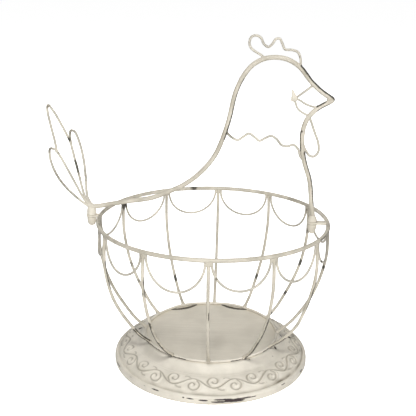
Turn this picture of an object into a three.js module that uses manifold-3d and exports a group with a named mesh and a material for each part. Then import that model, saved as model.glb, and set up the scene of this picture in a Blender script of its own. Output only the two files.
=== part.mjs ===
// A hen-shaped wire egg basket: a round bowl of bent wires on a pressed flared base, with a
// carrying handle bent into the outline of a hen. Millimetres, +Z up, the hen faces +X.
// Every wire is its own piece, and pieces that are welded together stop GAP short of each other.

import * as THREE from "three";
import { mergeVertices } from "three/addons/utils/BufferGeometryUtils.js";
import Module from "manifold-3d";

const wasm = await Module();
wasm.setup();

// Driving dimensions
const GAP = 0.3;
const RIM = { radius: 110, height: 145, wire: 2 };
const FOOT_RING = { radius: 65.6, height: 28, wire: 1.4 };
const RIB_WIRE = 1.25;
const SCALLOP = { wire: 0.85, clearOfRib: 2.8 };
// Degrees about Z from the breast. The ribs are set by eye, so some stand off even spacing.
const RIB_ANGLES = [0, 30.6, 60, 90, 120, 150, 180, 210, 240, 271, 301, 330.8];
// How far a hand-bent rib bows outward, by its number, and where it does so
const RIB_BOWS = { 1: 1.4, 9: 2.2, 12: 3.2 };
const BOW = { height: 54, spread: 17 };
// How far each scallop hangs, starting with the one after the first rib
const SCALLOP_DROPS = [25.5, 26.8, 25.5, 25.5, 26.8, 25.5, 25.5, 25.5, 29, 26.2, 26.6, 25.5];
const HANDLE_WIRE = 2.1;
const TRIM_WIRE = 0.95;
const FACE_WIRE = 0.8;
const EYE = { x: 72.9, z: 264.2, radius: 2.8 };
const TAIL_KNOB_X = -118.2;
const BREAST_KNOB_X = 95;
const TAB = { middle: 145.2, thickness: 2, eye: 5, tongue: 3.6, hole: 2.1 };
const STUD = { radius: 1.75, bottom: 138.4, top: 149.2 };
const BORE = { radius: 2.05, overrun: 0.4 };
// Length of one straight piece of a bent wire, and the number of pieces in a full turn
const STEP = { handle: 5.3, rib: 9, scallop: 5.4, trim: 3 };
const SEGMENTS = { base: 56, rim: 64, footRing: 48, knob: 20, eye: 12 };

// Half profiles as [radius, height], and wire routes in the handle's plane as [x, z]
const BASE_TOP = [
  [0, 26.3], [66.5, 26.3], [68.4, 25.3], [71.5, 21.4], [76.2, 18], [80.5, 17.4],
  [86, 15], [90.4, 11.2], [92.4, 7.8], [94.4, 8], [96, 6.6], [96.4, 4.6], [96.2, 0],
];
const BASE_UNDERSIDE = [
  [94.4, 0], [94.2, 5], [92, 5.8], [89.4, 10], [85.2, 13.8], [80, 16.2],
  [75.6, 16.9], [70.6, 20.6], [66.6, 25.3], [0, 25.3],
];
const RIB_PROFILE = [
  [111.5, 128], [111.1, 113], [108.2, 98], [103.6, 82], [96.6, 67], [87, 51.8], [77, 38.4],
];
const HANDLE_BACK = [
  [-118.2, 151.3], [-118.2, 152.4], [-117, 154], [-114.6, 154.6], [-111, 155], [-100, 157.2],
  [-80, 161.2], [-60, 164.8], [-42, 172.2], [-27, 180], [-12, 192.4], [0, 207.8], [7, 223.5],
  [13, 243.5], [18, 267], [24, 281.5], [32.5, 293], [43, 299.3], [54, 301], [65, 299.2],
  [76, 292.7], [87, 279.8], [97, 270.9], [107.1, 263.9],
];
const HANDLE_FRONT = [
  [107.1, 263.9], [94.3, 255.7], [86.6, 248], [82.3, 238], [81.3, 224], [84.3, 205.8],
  [90.4, 186.5], [93.4, 163], [94.8, 155], [95, 152.4],
];
const LOW_FEATHER = [
  [-120.3, 153.6], [-123.6, 156.1], [-131, 161.8], [-140.6, 170.6], [-149, 181.4],
  [-154.7, 193.5], [-157.3, 204], [-156.2, 211.2], [-151.5, 210], [-146.2, 202],
  [-139.9, 190], [-132.6, 175.8], [-126.6, 163.8], [-122.7, 158.4], [-119.6, 155.8],
];
const HIGH_FEATHER = [
  [-125.2, 166.4], [-127, 174], [-130.2, 189.3], [-134, 206], [-136.6, 220], [-136, 228.4],
  [-132.6, 227.6], [-128.3, 218], [-124.6, 202], [-123, 184], [-122.4, 168],
  [-121, 161], [-118.1, 157.6],
];
const TALL_FEATHER = [
  [-150.2, 208.4], [-150.6, 213], [-152.1, 220.9], [-155.2, 235], [-157.6, 249],
  [-156.4, 253.1], [-151.6, 247], [-144.6, 234], [-138.4, 221.6], [-136.1, 217.4],
];
const COMB = [
  [42.6, 299], [41, 302.4], [35.8, 305.4], [31.2, 309], [29.6, 314], [31.8, 319], [36.4, 320.3],
  [40.2, 317.6], [42.6, 312.8], [46.8, 310.1], [50.4, 313], [53.2, 317.2], [56.6, 317.6],
  [59.2, 313.4], [61.8, 308.4], [68, 307.9], [73.4, 306], [76.2, 300], [76.6, 292.4],
];
const BROW = [[89.2, 277], [85.2, 273.7], [78.2, 268.2], [EYE.x, EYE.z]];
const BEAK_LINE = [[EYE.x, EYE.z], [76.4, 263.2], [83.2, 259.2], [89, 257.2], [94.4, 255.8]];
const CHEEK = [[EYE.x, EYE.z], [73.6, 260.4], [75.6, 255.4], [79.5, 251.9], [86.8, 248.2]];
const WATTLE = [
  [86.8, 248.2], [88.6, 243.6], [92.4, 233.6], [96.4, 223.4], [97, 215], [93.4, 210.4],
  [89, 210.9], [85.6, 215.4], [81.6, 221.4],
];
const NECK_RUFFLE = [
  [9.6, 232.4], [12.6, 229.2], [17.6, 225.2], [22, 224], [27, 227.4], [31.8, 230.4],
  [36.8, 227.4], [41.8, 223.8], [47, 226.4], [52.4, 228.7], [57.6, 226], [62.4, 220.4],
  [67, 219], [72.4, 220.9], [77, 217.6], [80.6, 209.6], [84, 207],
];
const TAIL_FERRULE = [[0, 151], [3.4, 151], [4.2, 150.2], [4.4, 149], [4.4, 146.5]];
const BREAST_FERRULE = [[0, 152], [2.4, 152], [3.6, 150.7], [4.4, 149], [4.4, 146.5]];
const TAIL_NUT = [[4.4, 143.9], [4.5, 142], [4.3, 139.6], [3.6, 137.2], [2.4, 135.5], [0, 135.5]];
const BREAST_NUT = [[4.4, 143.9], [4.6, 141.6], [4, 138.6], [3, 136], [2.3, 134.8], [0, 134.8]];

const CREAM = { color: "#e4decf", roughness: 0.55, metalness: 0.05 };
const STEEL = { color: "#8d8a86", roughness: 0.4, metalness: 0.9 };

// Geometry helpers

function smoothRoute(points) {
  const corners = points.map(([x, z]) => new THREE.Vector3(x, 0, z));
  return new THREE.CatmullRomCurve3(corners, false, "centripetal");
}

function wireAlong(route, radius, step, sides = 6) {
  const section = new THREE.Shape().absarc(0, 0, radius, 0.5 * Math.PI, 2.5 * Math.PI);
  return new THREE.ExtrudeGeometry(section, {
    steps: Math.round(route.getLength() / step),
    extrudePath: route,
    curveSegments: sides / 2,
  });
}

function ring(radius, height, wire, segments, sides) {
  return new THREE.TorusGeometry(radius, wire, sides, segments).translate(0, 0, height);
}

function turned(profile, segments, x = 0) {
  const outline = profile.map(([radius, height]) => new THREE.Vector2(radius, height));
  return new THREE.LatheGeometry(outline, segments).rotateX(Math.PI / 2).translate(x, 0, 0);
}

function toSolid(geometry) {
  const bare = geometry.clone();
  bare.deleteAttribute("normal");
  bare.deleteAttribute("uv");
  const closed = mergeVertices(bare, 1e-4);
  const vertProperties = new Float32Array(closed.attributes.position.array);
  const triVerts = new Uint32Array(closed.index.array);
  return new wasm.Manifold(new wasm.Mesh({ numProp: 3, vertProperties, triVerts }));
}

function toGeometry(solid) {
  const mesh = solid.getMesh();
  const geometry = new THREE.BufferGeometry();
  geometry.setAttribute("position", new THREE.BufferAttribute(mesh.vertProperties, 3));
  geometry.setIndex(new THREE.BufferAttribute(mesh.triVerts, 1));
  return geometry;
}

// The wire along points, stopped GAP short of every neighbour it is welded to
function weldedWire(points, radius, neighbours) {
  const wire = toSolid(wireAlong(smoothRoute(points), radius, STEP.trim));
  const kept = neighbours.reduce((solid, neighbour) => solid.subtract(neighbour), wire);
  return toGeometry(kept);
}

// The space that a neighbour wire needs around it
function roomAround(points, radius) {
  return toSolid(wireAlong(smoothRoute(points), radius + GAP, STEP.trim));
}

function ball(radius, x, z) {
  const rings = SEGMENTS.eye / 2;
  return new THREE.SphereGeometry(radius, SEGMENTS.eye, rings).translate(x, 0, z);
}

// Sub-parts

function basePlate() {
  return turned([...BASE_UNDERSIDE.toReversed(), ...BASE_TOP.toReversed()], SEGMENTS.base);
}

// A rib runs from under the rim to the outside of the foot ring
function rib(bow) {
  const profile = RIB_PROFILE.map(([radius, height]) => {
    const away = (height - BOW.height) / BOW.spread;
    return [radius + bow * Math.exp(-(away ** 2)), height];
  });
  const [lastRadius, lastHeight] = profile.at(-1);
  const reach = new THREE.Vector2(lastRadius - FOOT_RING.radius, lastHeight - FOOT_RING.height);
  reach.setLength(FOOT_RING.wire + GAP);
  const top = [RIM.radius, RIM.height - RIM.wire - GAP];
  const foot = [FOOT_RING.radius + reach.x, FOOT_RING.height + reach.y];
  return wireAlong(smoothRoute([top, ...profile, foot]), RIB_WIRE, STEP.rib);
}

// A scallop hangs from the rim between two ribs as half an ellipse wrapped on the rim's cylinder
class ScallopCurve extends THREE.Curve {
  constructor(halfWidth, drop) {
    super();
    this.halfWidth = halfWidth;
    this.drop = drop;
  }

  getPoint(t, target = new THREE.Vector3()) {
    const angle = this.halfWidth * Math.cos(Math.PI * t);
    const height = RIM.height - RIM.wire - GAP - this.drop * Math.sin(Math.PI * t);
    return target.set(RIM.radius * Math.cos(angle), -RIM.radius * Math.sin(angle), height);
  }
}

// The handle is one wire, folded sharply at the tip of the beak. extra thickens it all over.
function handle(extra = 0) {
  const radius = HANDLE_WIRE + extra;
  const [tipX, tipZ] = HANDLE_FRONT[0];
  const back = wireAlong(smoothRoute(HANDLE_BACK), radius, STEP.handle, 8);
  const front = wireAlong(smoothRoute(HANDLE_FRONT), radius, STEP.handle, 8);
  return toSolid(back).add(toSolid(front)).add(toSolid(ball(radius, tipX, tipZ)));
}

// A flat eye with a tongue that reaches the rim wire, the tongue pointing along +X
function tab(tongueLength) {
  const corner = Math.asin(TAB.tongue / TAB.eye);
  const outline = new THREE.Shape();
  outline.absarc(0, 0, TAB.eye, corner, 2 * Math.PI - corner);
  outline.lineTo(tongueLength, -TAB.tongue);
  outline.lineTo(tongueLength, TAB.tongue);
  outline.closePath();
  outline.holes.push(new THREE.Path().absarc(0, 0, TAB.hole, 0, 2 * Math.PI, true));
  const plate = new THREE.ExtrudeGeometry(outline, {
    depth: TAB.thickness,
    bevelEnabled: false,
    curveSegments: 10,
  });
  return plate.translate(0, 0, TAB.middle - TAB.thickness / 2);
}

function stud(x) {
  const length = STUD.top - STUD.bottom;
  const rod = new THREE.CylinderGeometry(STUD.radius, STUD.radius, length, SEGMENTS.knob);
  return rod.rotateX(Math.PI / 2).translate(x, 0, (STUD.top + STUD.bottom) / 2);
}

// A ferrule is welded to the end of the handle wire and takes the top of the stud
function ferrule(profile, x) {
  const seat = profile.at(-1)[1];
  const ceiling = STUD.top + BORE.overrun;
  const bore = [[BORE.radius, seat], [BORE.radius, ceiling], [0, ceiling]];
  return turned([...profile, ...bore].toReversed(), SEGMENTS.knob, x);
}

// A blind thimble nut screws on to the stud from below
function nut(profile, x) {
  const seat = profile[0][1];
  const floor = STUD.bottom - BORE.overrun;
  const bore = [[0, floor], [BORE.radius, floor], [BORE.radius, seat]];
  return turned([...bore, ...profile].toReversed(), SEGMENTS.knob, x);
}

// Assembly

const basket = new THREE.Group();

function place(name, geometry, finish = CREAM) {
  const mesh = new THREE.Mesh(geometry, new THREE.MeshStandardMaterial(finish));
  mesh.name = name;
  basket.add(mesh);
  return mesh;
}

place("base_plate", basePlate());
place("foot_ring", ring(FOOT_RING.radius, FOOT_RING.height, FOOT_RING.wire, SEGMENTS.footRing, 6));
place("rim_ring", ring(RIM.radius, RIM.height, RIM.wire, SEGMENTS.rim, 8));

RIB_ANGLES.forEach((degrees, i) => {
  const label = String(i + 1).padStart(2, "0");
  const here = THREE.MathUtils.degToRad(degrees);
  const next = THREE.MathUtils.degToRad(RIB_ANGLES[i + 1] ?? 360);
  const halfWidth = (next - here) / 2 - SCALLOP.clearOfRib / RIM.radius;
  const curve = new ScallopCurve(halfWidth, SCALLOP_DROPS[i]);
  const scallop = wireAlong(curve, SCALLOP.wire, STEP.scallop);
  place(`rib_${label}`, rib(RIB_BOWS[i + 1] ?? 0)).rotation.z = here;
  place(`scallop_${label}`, scallop).rotation.z = (here + next) / 2;
});

const outsideRim = -(RIM.radius + RIM.wire + GAP);
const insideRim = RIM.radius - RIM.wire - 2 * GAP;
place("tail_tab", tab(outsideRim - TAIL_KNOB_X)).position.x = TAIL_KNOB_X;
place("breast_tab", tab(insideRim - BREAST_KNOB_X)).position.x = BREAST_KNOB_X;

const nearHandle = handle(GAP);
const nearEye = toSolid(ball(EYE.radius + GAP, EYE.x, EYE.z));
const nearLowFeather = roomAround(LOW_FEATHER, TRIM_WIRE);
const nearHighFeather = roomAround(HIGH_FEATHER, TRIM_WIRE);

place("handle_frame", toGeometry(handle()));
place("tail_feather_low", weldedWire(LOW_FEATHER, TRIM_WIRE, [nearHandle]));
place("tail_feather_high", weldedWire(HIGH_FEATHER, TRIM_WIRE, [nearHandle, nearLowFeather]));
place("tail_feather_tall", weldedWire(TALL_FEATHER, TRIM_WIRE, [nearLowFeather, nearHighFeather]));
place("comb", weldedWire(COMB, TRIM_WIRE, [nearHandle]));
place("wattle", weldedWire(WATTLE, TRIM_WIRE, [nearHandle]));
place("neck_ruffle", weldedWire(NECK_RUFFLE, TRIM_WIRE, [nearHandle]));
place("eye_bead", ball(EYE.radius, EYE.x, EYE.z));
place("brow_wire", weldedWire(BROW, FACE_WIRE, [nearHandle, nearEye]));
place("beak_wire", weldedWire(BEAK_LINE, FACE_WIRE, [nearHandle, nearEye]));
place("cheek_wire", weldedWire(CHEEK, FACE_WIRE, [nearHandle, nearEye]));

place("tail_ferrule", ferrule(TAIL_FERRULE, TAIL_KNOB_X));
place("breast_ferrule", ferrule(BREAST_FERRULE, BREAST_KNOB_X));
place("tail_stud", stud(TAIL_KNOB_X), STEEL);
place("breast_stud", stud(BREAST_KNOB_X), STEEL);
place("tail_nut", nut(TAIL_NUT, TAIL_KNOB_X));
place("breast_nut", nut(BREAST_NUT, BREAST_KNOB_X));

// The origin is on the floor, under the middle of the overall length
const extent = new THREE.Box3().setFromObject(basket, true);
basket.position.x = -(extent.min.x + extent.max.x) / 2;

export default basket;
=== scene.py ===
"""Looks of the hen-shaped wire egg basket: bent wires, welds, knobs and the pressed scroll base.

Lengths below are millimetres in the basket's own frame: x from the bowl's axis, z from the floor.
"""

import math

import bmesh
import bpy
import numpy as np
from mathutils import Matrix, Vector, noise


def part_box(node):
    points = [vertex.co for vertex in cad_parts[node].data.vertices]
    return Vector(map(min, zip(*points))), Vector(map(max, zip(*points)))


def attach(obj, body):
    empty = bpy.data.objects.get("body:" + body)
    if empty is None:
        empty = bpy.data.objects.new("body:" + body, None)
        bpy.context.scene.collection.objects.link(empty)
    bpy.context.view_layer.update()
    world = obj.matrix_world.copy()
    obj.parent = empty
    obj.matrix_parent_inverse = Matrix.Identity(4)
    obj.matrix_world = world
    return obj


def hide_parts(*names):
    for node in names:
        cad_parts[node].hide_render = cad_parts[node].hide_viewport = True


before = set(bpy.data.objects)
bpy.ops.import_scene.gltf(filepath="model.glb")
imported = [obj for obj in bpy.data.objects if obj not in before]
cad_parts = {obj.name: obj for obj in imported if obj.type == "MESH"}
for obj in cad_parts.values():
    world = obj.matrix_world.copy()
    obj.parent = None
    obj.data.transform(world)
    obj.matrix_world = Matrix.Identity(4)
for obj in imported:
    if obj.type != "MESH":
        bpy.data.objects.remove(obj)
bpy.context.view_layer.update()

# ---------------------------------------------------------------- sizes taken from the frame

MM = 0.001


def box_mm(node):
    low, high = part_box(node)
    return np.array(low) / MM, np.array(high) / MM


rim_low, rim_high = box_mm("rim_ring")
AXIS = np.array([(rim_low[0] + rim_high[0]) / 2, 0, 0])
RIM_WIRE = (rim_high[2] - rim_low[2]) / 2
RIM_RADIUS = (rim_high[1] - rim_low[1]) / 2 - RIM_WIRE
RIM_HEIGHT = (rim_high[2] + rim_low[2]) / 2
foot_low, foot_high = box_mm("foot_ring")
FOOT_WIRE = 1.4  # half the wire's thickness, as are the other wires below
FOOT_RADIUS = foot_high[1] - FOOT_WIRE
FOOT_HEIGHT = (foot_high[2] + foot_low[2]) / 2
base_low, base_high = box_mm("base_plate")
FLOOR_HEIGHT = base_high[2]
TAIL_KNOB_X = sum(b[0] for b in box_mm("tail_nut")) / 2 - AXIS[0]
BREAST_KNOB_X = sum(b[0] for b in box_mm("breast_nut")) / 2 - AXIS[0]
TAB_LOW, TAB_HIGH = (b[2] for b in box_mm("tail_tab"))

RIB_WIRE = 1.45
SCALLOP_WIRE = 1.06
SCALLOP_CLEAR_OF_RIB = 2.8
HANDLE_WIRE = 2.24
TRIM_WIRE = 1.16
FACE_WIRE = 1.0
EYE_X, EYE_Z, EYE_RADIUS = 72.9, 264.2, 2.9
RIB_ANGLES = [0, 30.6, 60, 90, 120, 150, 180, 210, 240, 271, 301, 330.8]
SCALLOP_DROPS = [25.5, 26.8, 25.5, 25.5, 26.8, 25.5, 25.5, 25.5, 29, 26.2, 26.6, 25.5]

# Routes in the handle's plane as [x, z], and the rib's half profile as [radius, height]
RIB_PROFILE = [
    [111.15, 128], [110.8, 113], [108.2, 98], [103.6, 82], [96.6, 67], [87, 51.8], [77, 38.4],
]
HANDLE_BACK = [
    [-118.2, 151.3], [-118.2, 152.4], [-117, 154], [-114.6, 154.6], [-111, 155], [-100, 157.2],
    [-80, 161.2], [-60, 164.8], [-42, 172.2], [-27, 180], [-12, 192.4], [0, 207.8], [7, 223.5],
    [13, 243.5], [18, 267], [24, 281.5], [32.5, 293], [43, 299.3], [54, 301], [65, 299.2],
    [76, 292.7], [87, 279.8], [97, 270.9], [104.6, 265.9],
]
BEAK_FOLD = [[106.4, 264.9], [107.1, 263.9], [106.4, 262.9]]
HANDLE_FRONT = [
    [104.4, 261.7], [94.3, 255.7], [86.6, 248], [82.3, 238], [81.3, 224], [84.3, 205.8],
    [90.4, 186.5], [93.4, 163], [94.8, 155], [95, 151.6],
]
LOW_FEATHER = [
    [-118.6, 152.6], [-123.6, 156.1], [-131, 161.8], [-140.6, 170.6], [-149, 181.4],
    [-154.7, 193.5], [-157, 204], [-156.2, 210.4], [-151.5, 209.6], [-146.2, 202],
    [-139.9, 190], [-132.6, 175.8], [-126.6, 163.8], [-122.7, 158.4], [-118.4, 154.8],
]
HIGH_FEATHER = [
    [-124.6, 163.4], [-125.4, 167.4], [-127, 174], [-130.2, 189.3], [-134, 206], [-136.6, 220.4],
    [-135.8, 228.4], [-132.4, 227.8], [-128.3, 218.6], [-124.6, 202], [-123, 184], [-122.4, 168],
    [-121, 161], [-117, 155.4],
]
TALL_FEATHER = [
    [-150.2, 208.2], [-150.6, 213], [-152.1, 220.9], [-155.2, 235], [-157.3, 248.4],
    [-156.4, 252.2], [-151.6, 246.6], [-144.6, 234], [-138.4, 221.6], [-136.1, 216.8],
]
COMB = [
    [42.6, 299.4], [41, 302.4], [35.8, 305.4], [31.2, 309], [29.6, 314], [31.8, 319],
    [36.4, 319.9], [40.2, 317.6], [42.6, 312.8], [46.8, 310.1], [50.4, 313], [53.2, 317.2],
    [56.6, 317.6], [59.2, 313.4], [61.8, 308.4], [68, 307.9], [73.4, 306], [76.2, 300],
    [76.6, 292.6],
]
BROW = [[89, 276.8], [85.2, 273.7], [78.2, 268.2], [EYE_X, EYE_Z]]
BEAK_LINE = [[EYE_X, EYE_Z], [76.4, 263.2], [83.2, 259.2], [89, 257.2], [94.2, 255.9]]
CHEEK = [[EYE_X, EYE_Z], [73.6, 260.4], [75.6, 255.4], [79.5, 251.9], [86.4, 248.4]]
WATTLE = [
    [86.8, 247.6], [88.6, 243.6], [92.4, 233.6], [96.4, 223.4], [97, 215], [93.4, 210.4],
    [89, 210.9], [85.6, 215.4], [82.6, 220.4], [81.6, 223.4],
]
NECK_RUFFLE = [
    [9.8, 232.2], [12.6, 229.2], [17.6, 225.2], [22, 224], [27, 227.4], [31.8, 230.4],
    [36.8, 227.4], [41.8, 223.8], [47, 226.4], [52.4, 228.7], [57.6, 226], [62.4, 220.4],
    [68, 219.3], [73.2, 220.9], [77.8, 217.4], [80.6, 209.6], [83.8, 206.6],
]

# ---------------------------------------------------------------- curves


def resample(line, step):
    """Points every step along a polyline."""
    lengths = np.linalg.norm(np.diff(line, axis=0), axis=1)
    along = np.concatenate([[0], np.cumsum(lengths)])
    marks = np.linspace(0, along[-1], max(2, round(along[-1] / step) + 1))
    return np.column_stack([np.interp(marks, along, column) for column in line.T])


def smooth_line(points, step):
    """Points every step along the centripetal Catmull-Rom curve through points."""
    p = np.array(points, float)
    p = np.vstack([2 * p[0] - p[1], p, 2 * p[-1] - p[-2]])
    t = np.linspace(0, 1, 24, endpoint=False)[:, None]
    stretches = []
    for a, b, c, d in zip(p, p[1:], p[2:], p[3:]):
        g0, g1, g2 = (np.linalg.norm(v) ** 0.5 for v in (b - a, c - b, d - c))
        leave = ((b - a) / g0 - (c - a) / (g0 + g1) + (c - b) / g1) * g1
        arrive = ((c - b) / g1 - (d - b) / (g1 + g2) + (d - c) / g2) * g1
        stretches.append(
            (2 * t**3 - 3 * t**2 + 1) * b + (t**3 - 2 * t**2 + t) * leave
            + (3 * t**2 - 2 * t**3) * c + (t**3 - t**2) * arrive
        )
    return resample(np.vstack([*stretches, p[-2:-1]]), step)


def in_plane(points, step=0.8):
    """A route in the handle's plane as 3-D points."""
    line = smooth_line(points, step)
    return np.column_stack([line[:, 0], np.zeros(len(line)), line[:, 1]])


def turned_about_axis(points, degrees):
    c, s = math.cos(math.radians(degrees)), math.sin(math.radians(degrees))
    return points @ np.array([[c, s, 0], [-s, c, 0], [0, 0, 1]])


# ---------------------------------------------------------------- worn spots and painted shade in the paint

RIB_LINE = smooth_line(
    [[RIM_RADIUS, RIM_HEIGHT], *RIB_PROFILE, [FOOT_RADIUS, FOOT_HEIGHT]], 1.0
)
# How far some hand-bent ribs bow outward, by their number, and where they do so
RIB_BOWS = {1: 1.4, 9: 2.2, 12: 3.2}
BOW_HEIGHT = 54
BOW_SPREAD = 17


def bow(number, height):
    return RIB_BOWS.get(number, 0) * np.exp(-(((height - BOW_HEIGHT) / BOW_SPREAD) ** 2))


def on_rib(number, height):
    """A point on the middle line of a rib, at a height above the floor."""
    radius = np.interp(height, RIB_LINE[::-1, 1], RIB_LINE[::-1, 0]) + bow(number, height)
    return turned_about_axis(np.array([radius, 0, height]), RIB_ANGLES[number - 1])


def on_circle(radius, height, degrees):
    return turned_about_axis(np.array([radius, 0, height]), degrees)


def arc(radius, height, first, last):
    """Points one degree apart along a stretch of a circle about the bowl's axis."""
    return np.array([on_circle(radius, height, degrees) for degrees in range(first, last)])


def spot(*place):
    return np.array([place])


def plane_line(*points):
    """A fine line through points in the handle's plane."""
    return in_plane(list(points), 0.5)


def side_line(*points):
    """A fine line on the handle's wire, on the side towards -Y."""
    return plane_line(*points) - [0, 1.1, 0]


def rib_stretch(number, low, high, shift):
    """A line beside a rib's middle line, between two heights."""
    heights = np.arange(low, high, 0.5)
    return np.array([on_rib(number, height) for height in heights]) + shift


# Worn spots on the ribs as rib, height, reach and strength
RIB_SPOTS = [
    (1, 100.4, 2.6, 0.95), (2, 84, 3.6, 1.1), (2, 52.4, 2.1, 1.6), (2, 118, 4.5, 0.5),
    (2, 140.6, 2.2, 0.55), (3, 55.7, 3.3, 1.12), (5, 51.6, 3.5, 1.15), (5, 32, 2.2, 0.6),
    (6, 140, 5.2, 1.35), (6, 75.7, 3.8, 0.52), (6, 59.1, 2.8, 0.8), (6, 47.5, 2.4, 0.5),
    (7, 127, 2.3, 0.9), (9, 106.2, 2.4, 0.62), (2, 32.5, 2.0, 1.25),
]
# Worn spots, painted shade and other dark lines elsewhere as points, reach and strength
WORN_AND_SHADED = [
    *[(on_rib(rib, height)[None], reach, strength) for rib, height, reach, strength in RIB_SPOTS],
    (rib_stretch(9, 104, 122, (1.0, -0.6, 0)), 1.0, 0.75),
    (rib_stretch(8, 92, 120, (1.0, -0.4, 0)), 0.9, 0.8),
    (rib_stretch(7, 94, 110, (1.0, -0.4, 0)), 0.9, 0.75),
    (rib_stretch(10, 89, 97, (0.8, -1.0, 0)), 0.6, 1.1),
    (rib_stretch(8, 30, 46, (0.95, -0.4, 0.8)), 0.8, 1.15),
    # Painted shade: dark lines on the lower outer sides of ribs 8 and 9
    (rib_stretch(8, 43, 46, (-0.8, -0.9, -0.8)), 1.5, 1.35),
    (rib_stretch(9, 71, 75, (-1.1, -0.9, -0.2)), 1.7, 1.35),
    (rib_stretch(12, 78, 100, (1.25, -0.5, -0.1)), 1.05, 1.45),
    (rib_stretch(12, 100, 110, (1.2, -0.4, 0)), 0.9, 0.95),
    (rib_stretch(1, 40, 62, (1.0, -0.4, 0)), 0.9, 0.7),
    # Painted shadow: dark lines along the outer sides of ribs 9 and 11, under ribs 8 and 12, and under
    # the outer side of the foot ring
    (rib_stretch(9, 28, 52, (-1.1, -0.9, -0.4)), 1.4, 1.5),
    (rib_stretch(9, 52, 76, (-1.3, -0.7, -0.2)), 1.15, 1.35),
    (rib_stretch(11, 28, 56, (1.1, -0.9, -0.4)), 1.35, 1.5),
    (rib_stretch(11, 56, 86, (1.3, -0.6, -0.2)), 1.3, 1.4),
    (rib_stretch(8, 28, 44, (-0.3, -0.7, -1.1)), 1.0, 1.25),
    (rib_stretch(12, 28, 44, (0.3, -0.7, -1.1)), 1.0, 1.15),
    (arc(FOOT_RADIUS + 1, FOOT_HEIGHT - 1, 204, 253), 0.9, 1.0),
    (arc(FOOT_RADIUS + 1, FOOT_HEIGHT - 1, 290, 304), 0.9, 1.0),
    (arc(FOOT_RADIUS + 1, FOOT_HEIGHT - 1, 322, 350), 0.9, 0.9),
    (on_circle(110, 146, 104)[None], 4.0, 0.98),
    (arc(111.2, 146.6, 112, 152), 1.3, 0.8),
    (arc(109.4, 147.2, 166, 200), 0.9, 0.7),
    (arc(112.8, 145.4, 158, 200), 1.0, 0.8),
    (on_circle(110, 146, 165)[None], 3.0, 0.5),
    (arc(112.2, 145.6, -27, -8), 1.0, 1.0),
    (arc(112.2, 146.2, -6, 24), 1.0, 0.95),
    (arc(112.2, 144, 196, 212), 1.3, 0.6),
    (on_circle(110, 122.4, 337.4)[None], 2.4, 0.85),
    (on_circle(110, 118, 12)[None], 1.8, 0.8),
    (on_circle(110, 129.2, 274.4)[None], 1.5, 0.85),
    (side_line([77.4, 293.9], [88.4, 281], [98.2, 272.3], [105.6, 267.5], [108.5, 264.8]), 1.2, 1.4),
    (side_line([93.4, 257.4], [97, 259.6], [101, 261.9]), 1.0, 1.15),
    (side_line([94.5, 253.9], [99, 256.6], [104.4, 259.8]), 1.0, 0.95),
    (side_line([8.9, 225], [14.9, 243], [19.2, 262]), 1.15, 1.12),
    (side_line([19.2, 262], [20.4, 267], [25.7, 280.5]), 1.1, 0.88),
    (side_line([85, 211.6], [86.4, 206.4], [89, 198]), 1.15, 1.25),
    (side_line([89, 198], [92.3, 187], [95.3, 163.3]), 1.1, 0.98),
    (side_line([79.8, 233], [79.4, 224], [80.3, 216]), 1.0, 0.95),
    (plane_line([10.5, 231.5], [13, 229], [17, 225.6]), 1.5, 0.85),
    (spot(80.9, -1.2, 234), 1.5, 1.2),
    (spot(84.4, -0.8, 213), 2.0, 1.1),
    (plane_line([-132.6, 199.5], [-131, 193], [-129.7, 187]), 1.5, 1.1),
    (spot(-137.4, 0, 219.8), 2.6, 1.0),
    (spot(-148.5, 0, 206.2), 1.5, 0.8),
    (spot(-157, 0, 251.6), 3.6, 0.55),
    (spot(-135.4, 0, 227.4), 4.6, 0.58),
    (spot(-155.8, 0, 209.8), 4.2, 0.58),
    (plane_line([-155, 192], [-149, 181.4], [-140.6, 170.6], [-131, 161.8]), 1.4, 0.72),
    (spot(-123, 0, 186), 8.0, 0.4),
    (plane_line([30, 314], [31.8, 319], [36.4, 320.3], [40, 317.6]), 1.6, 0.45),
    (plane_line([61.8, 308.4], [68, 307.9], [73.4, 306], [76.2, 300]), 1.6, 0.4),
]
# Streaks along the base's rolled edge as degrees, height, half length, half width and strength
EDGE_RADIUS = 96.3
EDGE_DEPTH = 3
EDGE_STREAKS = [
    (280, 5.4, 9, 0.7, 1.12), (290, 5.0, 9, 0.6, 1.08), (296.5, 4.7, 4, 0.5, 0.95),
    (278, 3.2, 8, 0.8, 1.12), (284.5, 4.0, 6, 1.5, 1.3), (288.5, 3.4, 5, 1.1, 1.1),
    (269, 4.6, 4.4, 0.7, 1.05), (262, 5.2, 3, 0.6, 0.92), (258, 5.6, 1.1, 0.8, 0.9),
    (241, 6.2, 4.4, 0.6, 0.98), (234, 6.0, 3, 0.5, 0.45), (222, 6.2, 4, 0.5, 0.4),
    (204, 5.6, 6, 0.8, 0.72), (339, 5.0, 3.4, 1.0, 0.85), (318, 6.4, 3, 0.6, 0.7),
    (20, 5.5, 5, 0.9, 0.85), (52, 6, 3.4, 0.7, 0.8), (84, 5.2, 7, 1.1, 1.0),
    (96, 6.6, 4, 0.7, 0.9), (118, 5.6, 4.4, 0.7, 0.8), (140, 5.2, 5, 1.0, 0.9), (165, 6, 4, 0.8, 0.8),
]


def wear_and_shade_at(points):
    """How worn the paint is at each point, with the painted shade lines added, from 0 to about 1."""
    wear_and_shade = np.zeros(len(points))
    low, high = points.min(axis=0), points.max(axis=0)
    for line, reach, strength in WORN_AND_SHADED:
        if (line.max(axis=0) < low - 3 * reach).any() or (line.min(axis=0) > high + 3 * reach).any():
            continue
        for centre in line:
            gap = np.sum((points - centre) ** 2, axis=1) / reach**2
            wear_and_shade = np.maximum(wear_and_shade, strength * np.exp(-gap))
    return wear_and_shade


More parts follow.
